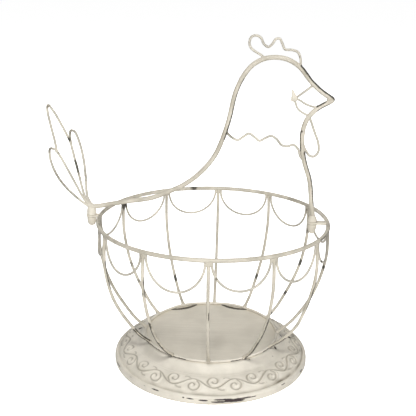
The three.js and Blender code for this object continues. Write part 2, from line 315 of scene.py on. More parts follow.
def edge_wear(points):
    """Wear along the rolled edge, in streaks that follow it."""
    degrees = np.degrees(np.arctan2(points[:, 1], points[:, 0]))
    outer = np.hypot(points[:, 0], points[:, 1]) > EDGE_RADIUS - EDGE_DEPTH
    wear_and_shade = np.zeros(len(points))
    for angle, height, along, across, strength in EDGE_STREAKS:
        turn = np.radians((degrees - angle + 180) % 360 - 180) * EDGE_RADIUS
        gap = (turn / along) ** 4 + ((points[:, 2] - height) / across) ** 2
        wear_and_shade = np.maximum(wear_and_shade, strength * np.exp(-gap) * outer)
    return wear_and_shade


def lumps(points, size, seed=0.0):
    """Smooth noise of about -1 to 1 with bumps of a size in mm."""
    shift = Vector((seed, seed * 0.7, -seed))
    return np.array([noise.noise(Vector(p) / size + shift) for p in points])


# Painted shade under the back of the foot ring, where it stands off the floor, as degrees, half length
# and depth of each crescent
CRESCENTS = [(120, 13.5, 5.2), (70, 13, 4.8)]
CRESCENT_LINE = 1.6
CRESCENT_BAND = 0.15
# Small dark spots on the base as degrees, radius, reach and strength
BASE_SPOTS = [
    (3.5, 70.6, 1.3, 1.3), (8, 80, 1.8, 1.25), (168, 75.6, 1.8, 1.25), (170, 81, 1.4, 1.1),
    (338, 69.2, 1.2, 1.25), (328.6, 72.1, 0.6, 0.95), (305.6, 67.4, 0.8, 0.95),
]
BASE_INSIDE = 12  # the sheet's hidden side lies below this height here


def painted_crescent_shade(points):
    """Painted shade: dark crescents on the floor along the back of the ring, widest in their middle."""
    degrees = np.degrees(np.arctan2(points[:, 1], points[:, 0])) % 360
    radius = np.hypot(points[:, 0], points[:, 1])
    under_ring = (points[:, 2] > FLOOR_HEIGHT - 5) & (radius < FOOT_RADIUS + 1.2)
    wear_and_shade = np.zeros(len(points))
    for middle, half, depth in CRESCENTS:
        across = (degrees - middle) / half
        edge = FOOT_RADIUS + 0.4 - depth * (1 - across**2)
        reach = 0.9 + 1.0 * np.clip(1 - across**2, 0, 1)
        line = CRESCENT_LINE * np.exp(-(((radius - edge) / reach) ** 2))
        band = CRESCENT_BAND * (radius > edge)
        wear_and_shade = np.maximum(wear_and_shade, np.maximum(line, band) * (np.abs(across) < 1) * under_ring)
    return wear_and_shade


def base_spot_wear(points):
    wear_and_shade = np.zeros(len(points))
    for angle, ring, reach, strength in BASE_SPOTS:
        centre = on_circle(ring, 0, angle)
        gap = np.sum((points[:, :2] - centre[:2]) ** 2, axis=1) / reach**2
        wear_and_shade = np.maximum(wear_and_shade, strength * np.exp(-gap) * (points[:, 2] > BASE_INSIDE))
    return wear_and_shade


# ---------------------------------------------------------------- mesh pieces


def add_piece(name, points, faces, material, slot, replaced=(), body="basket", wear_and_shade=None, groove=None):
    """Makes one shown piece from points in the basket's frame and rides it on its body."""
    mesh = bpy.data.meshes.new(name)
    mesh.from_pydata(((points + AXIS) * MM).tolist(), [], faces)
    values = {"wear_and_shade": wear_and_shade_at(points) if wear_and_shade is None else wear_and_shade}
    values["groove"] = np.zeros(len(points)) if groove is None else groove
    for key, numbers in values.items():
        mesh.attributes.new(key, "FLOAT", "POINT").data.foreach_set("value", numbers)
    shell = bmesh.new()
    shell.from_mesh(mesh)
    bmesh.ops.recalc_face_normals(shell, faces=shell.faces)
    shell.to_mesh(mesh)
    shell.free()
    mesh.polygons.foreach_set("use_smooth", [True] * len(mesh.polygons))
    mesh.materials.append(material)
    piece = bpy.data.objects.new(name, mesh)
    bpy.context.scene.collection.objects.link(piece)
    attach(piece, body)
    if replaced:
        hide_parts(*replaced)
    return piece


def with_round_ends(route, radii, across, tangents):
    """Adds four smaller and smaller rings past each end of a wire."""
    tilts = np.radians([78, 56, 34, 14])
    first = [route[0] - tangents[0] * radii[0] * math.sin(a) for a in tilts]
    last = [route[-1] + tangents[-1] * radii[-1] * math.sin(a) for a in tilts[::-1]]
    ends, count = np.cos(tilts), len(tilts)
    route = np.vstack([first, route, last])
    radii = np.concatenate([radii[0] * ends, radii, radii[-1] * ends[::-1]])
    across, tangents = (
        np.vstack([v[:1].repeat(count, 0), v, v[-1:].repeat(count, 0)]) for v in (across, tangents)
    )
    return route, radii, across, tangents


def sweep(route, radii, across, sides=14, closed=False):
    """Points and faces of a round wire along route; across is square to the route."""
    if closed:
        tangents = np.roll(route, -1, axis=0) - np.roll(route, 1, axis=0)
    else:
        tangents = np.gradient(route, axis=0)
    tangents /= np.linalg.norm(tangents, axis=1)[:, None]
    across = np.broadcast_to(across, route.shape)
    if not closed:
        route, radii, across, tangents = with_round_ends(route, radii, across, tangents)
    side = np.cross(tangents, across)
    turn = 2 * np.pi * np.arange(sides) / sides
    rings = across[:, None] * np.cos(turn)[:, None] + side[:, None] * np.sin(turn)[:, None]
    flat = route.repeat(sides, axis=0)
    paint = 1 + 0.035 * lumps(flat, 7.0) + 0.02 * lumps(flat + rings.reshape(-1, 3), 2.2, 5.0)
    points = flat + rings.reshape(-1, 3) * (radii.repeat(sides) * paint)[:, None]
    count = len(route)
    faces = []
    for i in range(count if closed else count - 1):
        j = (i + 1) % count
        for k in range(sides):
            m = (k + 1) % sides
            faces.append((i * sides + k, i * sides + m, j * sides + m, j * sides + k))
    if not closed:
        faces.append(tuple(range(sides))[::-1])
        faces.append(tuple(range((count - 1) * sides, count * sides)))
    return points, faces


def flared(route, radius, start=0.0, end=0.0, reach=1.5):
    """Wire radii that swell by a share of the radius towards each welded end."""
    steps = np.linalg.norm(np.diff(route, axis=0), axis=1)
    along = np.concatenate([[0], np.cumsum(steps)])
    swell = start * np.exp(-((along / reach) ** 2))
    swell += end * np.exp(-(((along[-1] - along) / reach) ** 2))
    return radius * (1 + swell)


def lathe(profile, segments):
    """Points and faces of a profile of [radius, height] turned about the z axis, both ends on it."""
    turn = 2 * np.pi * np.arange(segments) / segments
    ring = np.column_stack([np.cos(turn), np.sin(turn)])
    inner = profile[1:-1]
    points = [[0, 0, profile[0][1]]]
    for radius, height in inner:
        points.extend([radius * c, radius * s, height] for c, s in ring)
    points.append([0, 0, profile[-1][1]])
    last = len(points) - 1
    faces = []
    for k in range(segments):
        m = (k + 1) % segments
        faces.append((0, 1 + k, 1 + m))
        for i in range(len(inner) - 1):
            low, high = 1 + i * segments, 1 + (i + 1) * segments
            faces.append((low + k, high + k, high + m, low + m))
        top = 1 + (len(inner) - 1) * segments
        faces.append((top + k, last, top + m))
    return np.array(points, float), faces


def rounded(profile, step=0.35, radius=0.5):
    """A profile whose corners are eased, by smoothing a finely divided outline."""
    line = resample(np.array(profile, float), step)
    window = max(1, round(radius / step))
    for _ in range(window * 2):
        line[1:-1] = (line[:-2] + 2 * line[1:-1] + line[2:]) / 4
    return line


def weld_lumps(places, roughness=0.22):
    """Points and faces of a set of weld beads, each a centre and three half-axis vectors."""
    ball = bmesh.new()
    bmesh.ops.create_icosphere(ball, subdivisions=3, radius=1)
    unit = np.array([v.co[:] for v in ball.verts])
    triangles = [tuple(v.index for v in f.verts) for f in ball.faces]
    ball.free()
    points, faces = [], []
    for centre, axes in places:
        uneven = 1 + roughness * lumps(unit * 1.6 + centre, 1.3) + 0.08 * lumps(unit + centre, 0.5)
        bead = centre + (unit * uneven[:, None]) @ np.array(axes)
        offset = len(points) * len(unit)
        faces.extend(tuple(offset + v for v in f) for f in triangles)
        points.append(bead)
    return np.vstack(points), faces


# ---------------------------------------------------------------- materials


def node(tree, kind, **values):
    made = tree.nodes.new(kind)
    for key, value in values.items():
        if key in made.inputs:
            made.inputs[key].default_value = value
        else:
            setattr(made, key, value)
    return made


def mixed(tree, factor, first, second):
    mix = node(tree, "ShaderNodeMix", data_type="RGBA")
    for socket, value in ((mix.inputs[0], factor), (mix.inputs[6], first), (mix.inputs[7], second)):
        if isinstance(value, bpy.types.NodeSocket):
            tree.links.new(value, socket)
        else:
            socket.default_value = value
    return mix.outputs[2]


def ranged(tree, value, low, high, to_low=0.0, to_high=1.0):
    made = node(tree, "ShaderNodeMapRange", interpolation_type="SMOOTHSTEP")
    for key, number in zip(("From Min", "From Max", "To Min", "To Max"), (low, high, to_low, to_high)):
        made.inputs[key].default_value = number
    tree.links.new(value, made.inputs["Value"])
    return made.outputs["Result"]


def noise_of(tree, coordinates, scale, detail=3.0, stretch=None):
    if stretch:
        mapping = node(tree, "ShaderNodeMapping", Scale=stretch)
        tree.links.new(coordinates, mapping.inputs["Vector"])
        coordinates = mapping.outputs["Vector"]
    made = node(tree, "ShaderNodeTexNoise", Scale=scale, Detail=detail)
    tree.links.new(coordinates, made.inputs["Vector"])
    return made.outputs["Fac"]


def summed(tree, first, second, weight):
    made = node(tree, "ShaderNodeMath", operation="MULTIPLY_ADD")
    tree.links.new(second, made.inputs[0])
    made.inputs[1].default_value = weight
    tree.links.new(first, made.inputs[2])
    return made.outputs[0]


CREAM = (0.67, 0.62, 0.52, 1)
CREAM_SHADE = (0.50, 0.46, 0.375, 1)
# The rub colour and the two bare colours also serve as the colour of painted shade beside wires and
# under the foot ring
RUB_AND_SHADE = (0.30, 0.275, 0.22, 1)
BARE_WIRE_AND_SHADE = (0.085, 0.078, 0.06, 1)
BARE_EDGE_AND_SHADE = (0.06, 0.046, 0.048, 1)
GROOVE_SHADE = (0.25, 0.22, 0.165, 1)
# Wear and painted shade, with noise added, at which paint starts to rub, is rubbed, starts to bare steel
# and is bare
RUB_STARTS, RUBBED, BARE_STARTS, BARED = 0.84, 1.06, 1.12, 1.26


def aged_paint(name, cream=CREAM, shade=CREAM_SHADE, bare_metal_and_shade=BARE_WIRE_AND_SHADE, streaks=None):
    """Cream enamel over dark steel: mottled, slightly rough, rubbed through where wear is high, and
    darkened the same way where painted shade is added to the wear.
    """
    material = bpy.data.materials.new(name)
    material.use_nodes = True
    tree = material.node_tree
    surface = tree.nodes["Principled BSDF"]
    where = node(tree, "ShaderNodeTexCoord").outputs["Object"]
    wear_and_shade = node(tree, "ShaderNodeAttribute", attribute_name="wear_and_shade").outputs["Fac"]
    groove = node(tree, "ShaderNodeAttribute", attribute_name="groove").outputs["Fac"]
    patches = noise_of(tree, where, 55.0)
    fine = noise_of(tree, where, 420.0, 4.0)
    ragged = noise_of(tree, where, 420.0, 5.0)
    scattered = noise_of(tree, where, 120.0, 6.0)
    worn_and_shaded = summed(tree, summed(tree, wear_and_shade, ragged, 0.8), scattered, 0.45)
    rubbed_and_shaded = ranged(tree, worn_and_shaded, RUB_STARTS, RUBBED)
    bare_and_shaded = ranged(tree, worn_and_shaded, BARE_STARTS, BARED)
    colour = mixed(tree, ranged(tree, patches, 0.35, 0.68), cream, shade)
    colour = mixed(tree, ranged(tree, fine, 0.58, 0.8, 0.0, 0.35), colour, shade)
    height = summed(tree, fine, bare_and_shaded, -1.6)
    if streaks:
        lines = noise_of(tree, where, 1.0, 6.0, streaks)
        colour = mixed(tree, ranged(tree, lines, 0.42, 0.68, 0.0, 0.75), colour, shade)
        height = summed(tree, height, lines, 0.8)
    colour = mixed(tree, groove, colour, GROOVE_SHADE)
    colour = mixed(tree, rubbed_and_shaded, colour, RUB_AND_SHADE)
    colour = mixed(tree, bare_and_shaded, colour, bare_metal_and_shade)
    tree.links.new(colour, surface.inputs["Base Color"])
    tree.links.new(ranged(tree, fine, 0.2, 0.8, 0.44, 0.62), surface.inputs["Roughness"])
    tree.links.new(ranged(tree, bare_and_shaded, 0.0, 1.0, 0.0, 0.35), surface.inputs["Metallic"])
    bump = node(tree, "ShaderNodeBump", Strength=0.35, Distance=0.00012)
    tree.links.new(height, bump.inputs["Height"])
    tree.links.new(bump.outputs["Normal"], surface.inputs["Normal"])
    return material


def plain_steel():
    """Turned steel with fine rings along its length."""
    material = bpy.data.materials.new("stud_steel")
    material.use_nodes = True
    tree = material.node_tree
    surface = tree.nodes["Principled BSDF"]
    where = node(tree, "ShaderNodeTexCoord").outputs["Object"]
    rings = noise_of(tree, where, 1.0, 3.0, (300, 300, 3500))
    colour = mixed(tree, ranged(tree, rings, 0.3, 0.7), (0.42, 0.4, 0.38, 1), (0.6, 0.58, 0.55, 1))
    tree.links.new(colour, surface.inputs["Base Color"])
    tree.links.new(ranged(tree, rings, 0.3, 0.7, 0.28, 0.5), surface.inputs["Roughness"])
    surface.inputs["Metallic"].default_value = 1.0
    return material


WIRE_PAINT = aged_paint("wire_paint")
# Painted light: the knobs, eye and tabs get the wires' cream painted lighter
KNOB_PAINT = aged_paint("knob_paint", (0.78, 0.73, 0.62, 1), (0.66, 0.61, 0.51, 1))
TRIM_PAINT = aged_paint("trim_paint", (0.64, 0.595, 0.505, 1), (0.47, 0.44, 0.375, 1))
BASE_PAINT = aged_paint("base_paint", (0.80, 0.75, 0.65, 1), (0.70, 0.655, 0.56, 1), BARE_EDGE_AND_SHADE)
FLOOR_PAINT = aged_paint(
    "floor_paint", (0.80, 0.745, 0.63, 1), (0.73, 0.675, 0.565, 1), streaks=(14, 900, 14)
)
STEEL = plain_steel()

# ---------------------------------------------------------------- camera, light and floor


def make_camera():
    """The photograph's view: slightly above, a little turned and rolled, through a 68 mm lens."""
    turn, dip, roll = (math.radians(a) for a in (3.0, 17.36, 0.98))
    ahead = Vector((0, math.cos(dip), -math.sin(dip)))
    level, rise = Vector((1, 0, 0)), Vector((0, math.sin(dip), math.cos(dip)))
    right = level * math.cos(roll) + rise * math.sin(roll)
    up = rise * math.cos(roll) - level * math.sin(roll)
    about = Matrix.Rotation(turn, 3, "Z")
    place = about @ Vector((-5.12, -725.7, 383.4)) + Vector(AXIS)
    camera = bpy.data.objects.new("camera", bpy.data.cameras.new("camera"))
    camera.data.lens = 68.49
    camera.matrix_world = Matrix.Translation(place * MM) @ (
        Matrix((about @ right, about @ up, -(about @ ahead))).transposed().to_4x4()
    )
    bpy.context.scene.collection.objects.link(camera)
    bpy.context.scene.camera = camera


def area_light(name, place, size, watts):
    """A square soft light that faces the middle of the basket."""
    light = bpy.data.objects.new(name, bpy.data.lights.new(name, "AREA"))
    light.data.size = size
    light.data.energy = watts
    light.location = place
    aim = Vector((0.02, 0, 0.14)) - light.location
    light.rotation_euler = aim.to_track_quat("-Z", "Y").to_euler()
    bpy.context.scene.collection.objects.link(light)


# Soft lights as name, place in metres, size and watts
LIGHTS = [
    ("key", (0.02, -1.15, 1.45), 0.3, 17.5),
    ("front", (0.1, -1.9, 0.5), 0.7, 10.3),
    ("right", (1.3, -1.0, 0.8), 0.6, 4.0),
    ("back", (-0.3, 1.2, 1.45), 0.9, 6.5),
    ("behind", (-1.0, 1.6, 0.6), 0.8, 3.5),
]
WORLD_GLOW = 0.1
FLOOR_GLOW = 0.9
SKY_SEEN = 0.97


def make_world():
    """A dim even glow on the basket, in front of a sky that looks nearly white."""
    world = bpy.data.worlds.new("studio")
    bpy.context.scene.world = world
    world.use_nodes = True
    world.node_tree.nodes["Background"].inputs["Color"].default_value = (1, 1, 1, 1)
    seen = world.node_tree.nodes.new("ShaderNodeMapRange")
    seen.inputs["To Min"].default_value = WORLD_GLOW
    seen.inputs["To Max"].default_value = SKY_SEEN
    rays = world.node_tree.nodes.new("ShaderNodeLightPath")
    world.node_tree.links.new(rays.outputs["Is Camera Ray"], seen.inputs["Value"])
    strength = world.node_tree.nodes["Background"].inputs["Strength"]
    world.node_tree.links.new(seen.outputs["Result"], strength)


def make_floor():
    """A wide pale floor whose own glow lights nothing else."""
    floor = bpy.data.meshes.new("floor")
    reach = 14.0
    floor.from_pydata(
        [(-reach, -reach, 0), (reach, -reach, 0), (reach, reach, 0), (-reach, reach, 0)],
        [], [(0, 1, 2, 3)],
    )
    pale = bpy.data.materials.new("pale_floor")
    pale.use_nodes = True
    surface = pale.node_tree.nodes["Principled BSDF"]
    surface.inputs["Base Color"].default_value = (0.9, 0.9, 0.9, 1)
    surface.inputs["Roughness"].default_value = 0.9
    surface.inputs["Emission Color"].default_value = (1, 1, 1, 1)
    surface.inputs["Emission Strength"].default_value = FLOOR_GLOW
    floor.materials.append(pale)
    ground = bpy.data.objects.new("floor", floor)
    bpy.context.scene.collection.objects.link(ground)
    only_floor = bpy.data.collections.new("floor_only")
    only_floor.objects.link(ground)
    ground.light_linking.receiver_collection = only_floor


def make_studio():
    bpy.context.scene.view_settings.view_transform = "Standard"
    make_world()
    for light in LIGHTS:
        area_light(*light)
    make_floor()


# ---------------------------------------------------------------- bowl


def make_rim():
    turn = np.radians(np.arange(0, 360, 0.5))
    route = np.column_stack([
        RIM_RADIUS * np.cos(turn), RIM_RADIUS * np.sin(turn), np.full(len(turn), RIM_HEIGHT)
    ])
    radii = np.full(len(route), RIM_WIRE - 0.08)
    points, faces = sweep(route, radii, np.array([0, 0, 1.0]), 18, closed=True)
    add_piece("rim_wire", points, faces, WIRE_PAINT, "wire_paint", ["rim_ring"])


# Where the foot ring stands off the floor, as degrees, half length and gap
RING_LIFTS = [(120, 13, 0.5), (70, 13, 0.5), (228, 12, 0.4), (308, 10, 0.4)]


def make_foot_ring():
    """The foot ring lies on the base and lifts off it a little in four stretches."""
    degrees = np.arange(0, 360, 0.75)
    turn = np.radians(degrees)
    lift = np.zeros(len(degrees))
    for middle, reach, rise in RING_LIFTS:
        lift += rise * np.exp(-(((degrees - middle) / reach) ** 4))
    route = np.column_stack([
        FOOT_RADIUS * np.cos(turn), FOOT_RADIUS * np.sin(turn), FOOT_HEIGHT - 0.35 + lift
    ])
    radii = np.full(len(route), FOOT_WIRE - 0.2)
    points, faces = sweep(route, radii, np.array([0, 0, 1.0]), 14, closed=True)
    add_piece("foot_ring_wire", points, faces, BASE_PAINT, "base_paint", ["foot_ring"])


def make_ribs():
    profile = smooth_line(
        [[RIM_RADIUS, RIM_HEIGHT - 1.2], *RIB_PROFILE, [FOOT_RADIUS + 1, FOOT_HEIGHT + 0.9]], 0.9
    )
    upright = np.column_stack([profile[:, 0], np.zeros(len(profile)), profile[:, 1]])
    radii = flared(upright, RIB_WIRE, 0.15, 0.35, 2.0)
    for number, angle in enumerate(RIB_ANGLES, 1):
        bent = upright + np.outer(bow(number, upright[:, 2]), [1, 0, 0])
        route = turned_about_axis(bent, angle)
        across = turned_about_axis(np.array([0, 1.0, 0]), angle)
        points, faces = sweep(route, radii, across, 14)
        name = f"rib_wire_{number:02d}"
        add_piece(name, points, faces, WIRE_PAINT, "wire_paint", [f"rib_{number:02d}"])


def make_scallops():
    ends = [*RIB_ANGLES[1:], 360]
    for number, (here, there, drop) in enumerate(zip(RIB_ANGLES, ends, SCALLOP_DROPS), 1):
        half = math.radians((there - here) / 2) - SCALLOP_CLEAR_OF_RIB / RIM_RADIUS
        t = np.linspace(0, np.pi, 200)
        angle = half * np.cos(t)
        top = RIM_HEIGHT - RIM_WIRE - 0.3
        line = np.column_stack([
            RIM_RADIUS * np.cos(angle), RIM_RADIUS * np.sin(angle), top - drop * np.sin(t)
        ])
        stub = spot(0, 0, 1.2)
        line = resample(np.vstack([line[:1] + stub, line, line[-1:] + stub]), 0.9)
        outward = line * [1, 1, 0] / np.linalg.norm(line[:, :2], axis=1)[:, None]
        middle = (here + there) / 2
        radii = flared(line, SCALLOP_WIRE, 0.3, 0.3, 2.2)
        points, faces = sweep(
            turned_about_axis(line, middle), radii, turned_about_axis(outward, middle), 12
        )
        name = f"scallop_wire_{number:02d}"
        add_piece(name, points, faces, TRIM_PAINT, "trim_paint", [f"scallop_{number:02d}"])


def make_bowl_welds():
    """A bead where each rib and its two scallop ends meet the rim, and one at each rib's foot."""
    top, foot = [], []
    for number, angle in enumerate(RIB_ANGLES):
        def turned(x, y, z):
            return turned_about_axis(np.array([x, y, z], float), angle)
        size = 1 + 0.12 * math.sin(5.1 * number)
        axes = [turned(1.3, 0, 0), turned(0, 3.3 * size, 0.3), turned(0, 0, 2.5 * size)]
        top.append((turned(RIM_RADIUS + 0.4, 0, RIM_HEIGHT - RIM_WIRE - 1.1), axes))
        for side in (-2.4, 2.4):
            axes = [turned(1.25, 0, 0), turned(0, 1.3, 0), turned(0, 0.25 * side, 1.9 * size)]
            top.append((turned(RIM_RADIUS, side, RIM_HEIGHT - RIM_WIRE - 1.4), axes))
        axes = [turned(2.3 * size, 0, 1.2), turned(0, 1.7, 0), turned(-0.6, 0, 1.2)]
        foot.append((turned(FOOT_RADIUS + 1.2, 0, FOOT_HEIGHT + 0.5), axes))
    add_piece("rim_welds", *weld_lumps(top), WIRE_PAINT, "wire_paint")
    add_piece("foot_welds", *weld_lumps(foot), BASE_PAINT, "base_paint")


# ---------------------------------------------------------------- pressed base

SCROLL_REPEATS = 14
FIRST_SCROLL = 11.4  # degrees about the axis
SCROLL_PITCH = 34.6
STEPS_PER_SCROLL = 96
COARSE = 4  # a plain row of the sheet has this many times fewer points than a row of the band
PRESSED_HEIGHT = 0.85
PRESSED_REACH = 1.0
PRESSED_SHIFT = (1.0, 0.9)
GROOVE_DEPTH = 0.9
GROOVE_REACH = 0.74
GROOVE_TONE = 0.72
BAND_FADE = 1.2
CREASE_RADIUS = 92.4
CREASE_REACH = 0.9
CREASE_BOTTOM = 6.5
# More or less painted shade in the crease, as degrees, half length and gain
CREASE_STRETCHES = [(324, 18, 1.2), (205, 30, -0.8)]
# Section of the scroll band as [radius, height]
BAND_POINTS = [[76.2, 18.2], [80.5, 17.5], [86, 15], [90.1, 11.5], [92.1, 8.3]]
# A plain running scroll, in mm along the band and down from its inner edge
STEM_DOWN = 9.4
STEM_SWING = 4.2
CURL_OFFSET = 2.5
CURL_SIZE = 6.0
CURL_START = 120.0
CURL_TURN = 400.0
LEAF_REACH = [3.4, 5.6, 7.8]
LEAF_OFFSET = [5.2, 6.1, 6.0]


def stem():
    """One wave of a plain running stem, as [along, down]."""
    places = np.linspace(-0.5, 0.5, 9)
    return [[SCROLL_PITCH * s, STEM_DOWN + STEM_SWING * math.sin(2 * math.pi * s)] for s in places]


def curl(side):
    """A plain spiral off the stem into the bay on one side, from its open end inward."""
    points = []
    for step in np.linspace(0, 1, 9):
        angle = math.radians(CURL_START + CURL_TURN * step)
        reach = CURL_SIZE * (1 - 0.75 * step)
        along = SCROLL_PITCH / 4 + reach * math.cos(angle)
        points.append([side * along, STEM_DOWN + side * (reach * math.sin(angle) - CURL_OFFSET)])
    return points


def leaf(side):
    """A short leaf beyond the stem's crest on one side."""
    crest = SCROLL_PITCH / 4
    return [[side * (crest + u), STEM_DOWN + side * v] for u, v in zip(LEAF_REACH, LEAF_OFFSET)]


def scroll_strokes():
    """The strokes of one repeat of a generic running scroll, each with its weight."""
    strokes = [(stem(), 1.0)]
    for side in (1, -1):
        strokes += [(curl(side), 0.9), (leaf(side), 0.7)]
    return strokes


def scroll_relief(along, down):
    """Pressed relief at each place on the band: its height in mm, and how deep in a groove it is."""
    height = np.zeros(along.shape)
    groove = np.zeros(along.shape)
    for stroke, weight in scroll_strokes():
        cut = np.full(along.shape, 1e3)
        raised = np.full(along.shape, 1e3)
        for u, v in smooth_line(stroke, 0.35):
            du = (along - u + SCROLL_PITCH / 2) % SCROLL_PITCH - SCROLL_PITCH / 2
            cut = np.minimum(cut, du**2 + (down - v) ** 2)
            beside, below = du - PRESSED_SHIFT[0], down - v - PRESSED_SHIFT[1]
            raised = np.minimum(raised, beside**2 + below**2)
        height = np.maximum(height, PRESSED_HEIGHT * weight * np.exp(-raised / PRESSED_REACH**2))
        groove = np.maximum(groove, weight * np.exp(-cut / GROOVE_REACH**2))
    return height - GROOVE_DEPTH * groove, np.clip(groove, 0, 1)


def ring_counts(rows, fine, fine_rows):
    return [fine if i in fine_rows else fine // COARSE for i in range(rows)]


def mixed_lathe(profile, counts):
    """A closed turned sheet whose rows of points may be coarse or fine; both ends on the axis."""
    starts, points = [], [[0, 0, profile[0][1]]]
    for (radius, height), count in zip(profile[1:-1], counts):
        starts.append(len(points))
        turn = 2 * np.pi * np.arange(count) / count
        row = np.column_stack([radius * np.cos(turn), radius * np.sin(turn), np.full(count, height)])
        points.extend(row.tolist())
    points.append([0, 0, profile[-1][1]])
    last = len(points) - 1
    faces = [(0, 1 + k, 1 + (k + 1) % counts[0]) for k in range(counts[0])]
    for low, high, here, there in zip(starts, starts[1:], counts, counts[1:]):
        for k in range(min(here, there)):
            m = (k + 1) % min(here, there)
            if here == there:
                faces.append((low + k, high + k, high + m, low + m))
            elif here < there:
                fan = [high + (COARSE * k + i) % there for i in range(COARSE + 1)]
                faces.append((low + k, *fan, low + m))
            else:
                fan = [low + (COARSE * k + i) % here for i in range(COARSE + 1)]
                faces.append((high + m, *fan[::-1], high + k))
    top = starts[-1]
    faces += [(top + k, last, top + (k + 1) % counts[-1]) for k in range(counts[-1])]
    return np.array(points, float), faces, starts


def base_profile():
    """Outline of the sheet from the floor's middle, over the edge and back underneath."""
    floor = np.array([[r, FLOOR_HEIGHT] for r in (0, 10, 20, 30, 40, 50, 55, *np.arange(57, 65.1, 0.5))])
    flare = smooth_line(
        [[65.6, FLOOR_HEIGHT], [67, FLOOR_HEIGHT - 0.2], [68.4, 25.2], [69.8, 23.4], [71.6, 21.3],
         [73.8, 19.3], [75.6, 18.5]], 0.8)
    step = np.array([[75.9, 18.6]])
    band = smooth_line(BAND_POINTS, 0.4)
    edge = smooth_line(
        [[92.1, 8.3], [92.7, 7.7], [93.4, 8.1], [94.6, 8.1], [95.7, 7.2], [96.25, 5.4],
         [96.35, 3.2], [96.2, 1.0], [95.6, 0.0]], 0.4)
    hem = np.array([[94.9, 0.0], [94.4, 0.4], [94.2, 1.6], [93.9, 4.6], [92, 6]])
    under = np.array([[89.4, 10], [85.2, 13.8], [80, 16.2], [75.6, 16.9], [73, 18.4], [70.6, 20.6],
                      [68.6, 23.2], [66.6, 25.3], [40, 25.3], [0, 25.3]])
    first = len(floor) + len(flare) + 1
    return np.vstack([floor, flare, step, band, edge[1:], hem, under]), first, band


def painted_crease_shade(points):
    """Uneven painted shade in the crease between the scroll band and the rolled edge."""
    radius = np.hypot(points[:, 0], points[:, 1])
    crease_shade = np.exp(-(((radius - CREASE_RADIUS) / CREASE_REACH) ** 2)) * (points[:, 2] > CREASE_BOTTOM)
    found = crease_shade > 0.01
    crease_shade[found] *= np.clip(0.34 + 0.5 * lumps(points[found], 11.0, 3.0), 0.08, 0.7)
    degrees = np.degrees(np.arctan2(points[:, 1], points[:, 0])) % 360
    for middle, half, gain in CREASE_STRETCHES:
        crease_shade *= 1 + gain * np.exp(-(((degrees - middle) / half) ** 2))
    return crease_shade


def press_band(points, starts, rows, band):
    """Moves the band's points out and in by the relief, and says how deep in a groove each is."""
    fine = SCROLL_REPEATS * STEPS_PER_SCROLL
    lengths = np.linalg.norm(np.diff(band, axis=0), axis=1)
    down = np.concatenate([[0], np.cumsum(lengths)])
    first_share = FIRST_SCROLL / 360 * SCROLL_REPEATS
    along = (np.arange(STEPS_PER_SCROLL) / STEPS_PER_SCROLL - first_share) * SCROLL_PITCH
    slope = np.gradient(band, axis=0)
    normals = np.column_stack([-slope[:, 1], slope[:, 0]])
    normals /= np.linalg.norm(normals, axis=1)[:, None]
    relief, cut = scroll_relief(along[None, :], down[:, None])
    fade = np.clip(down / BAND_FADE, 0, 1) * np.clip((down[-1] - down) / BAND_FADE, 0, 1)
    groove = np.zeros(len(points))
    turn = 2 * np.pi * np.arange(fine) / fine
    for i, row in enumerate(rows):
        part = slice(starts[row], starts[row] + fine)
        lift = np.tile(relief[i], SCROLL_REPEATS) * fade[i]
        groove[part] = GROOVE_TONE * np.tile(cut[i], SCROLL_REPEATS) * fade[i]
        points[part] += np.column_stack([
            lift * normals[i][0] * np.cos(turn), lift * normals[i][0] * np.sin(turn),
            lift * normals[i][1],
        ])
    return groove


def paint_floor(base):
    """Gives the flat floor inside the foot ring its own brushed paint."""
    base.data.materials.append(FLOOR_PAINT)
    inside = (FOOT_RADIUS * MM) ** 2
    for polygon in base.data.polygons:
        x, y, z = polygon.center
        if (x - AXIS[0] * MM) ** 2 + y**2 < inside and polygon.normal.z > 0.5:
            polygon.material_index = 1


def make_base():
    """The base is one pressed sheet: floor, concave flare, convex scroll band and rolled edge."""
    profile, first, band = base_profile()
    rows = range(first - 1, first - 1 + len(band))
    counts = ring_counts(len(profile) - 2, SCROLL_REPEATS * STEPS_PER_SCROLL, rows)
    points, faces, starts = mixed_lathe(profile, counts)
    groove = press_band(points, starts, rows, band)
    # Painted shade in the crease is laid on through the groove tone
    groove = np.maximum(groove, painted_crease_shade(points))
    # Painted shade under the back of the ring is laid on through the wear, together with the edge wear
    # and dark spots
    wear_and_shade = np.maximum.reduce([edge_wear(points), painted_crescent_shade(points), base_spot_wear(points)])
    base = add_piece(
        "base_sheet", points, faces, BASE_PAINT, "base_paint", ["base_plate"], wear_and_shade=wear_and_shade, groove=groove
    )
    paint_floor(base)


# ---------------------------------------------------------------- handle and hen

SIDEWAYS = np.array([0, 1.0, 0])


def make_wire(name, points, radius, material, replaced, ends=(0.9, 0.9), sides=14, slot="trim_paint"):
    route = in_plane(points)
    radii = flared(route, radius, *ends)
    return add_piece(name, *sweep(route, radii, SIDEWAYS, sides), material, slot, [replaced])


def make_handle():
    route = in_plane([*HANDLE_BACK, *BEAK_FOLD, *HANDLE_FRONT], 0.7)
    radii = flared(route, HANDLE_WIRE, 0.1, 0.1, 1.5)
    points, faces = sweep(route, radii, SIDEWAYS, 20)
    add_piece("hen_outline", points, faces, WIRE_PAINT, "wire_paint", ["handle_frame"])


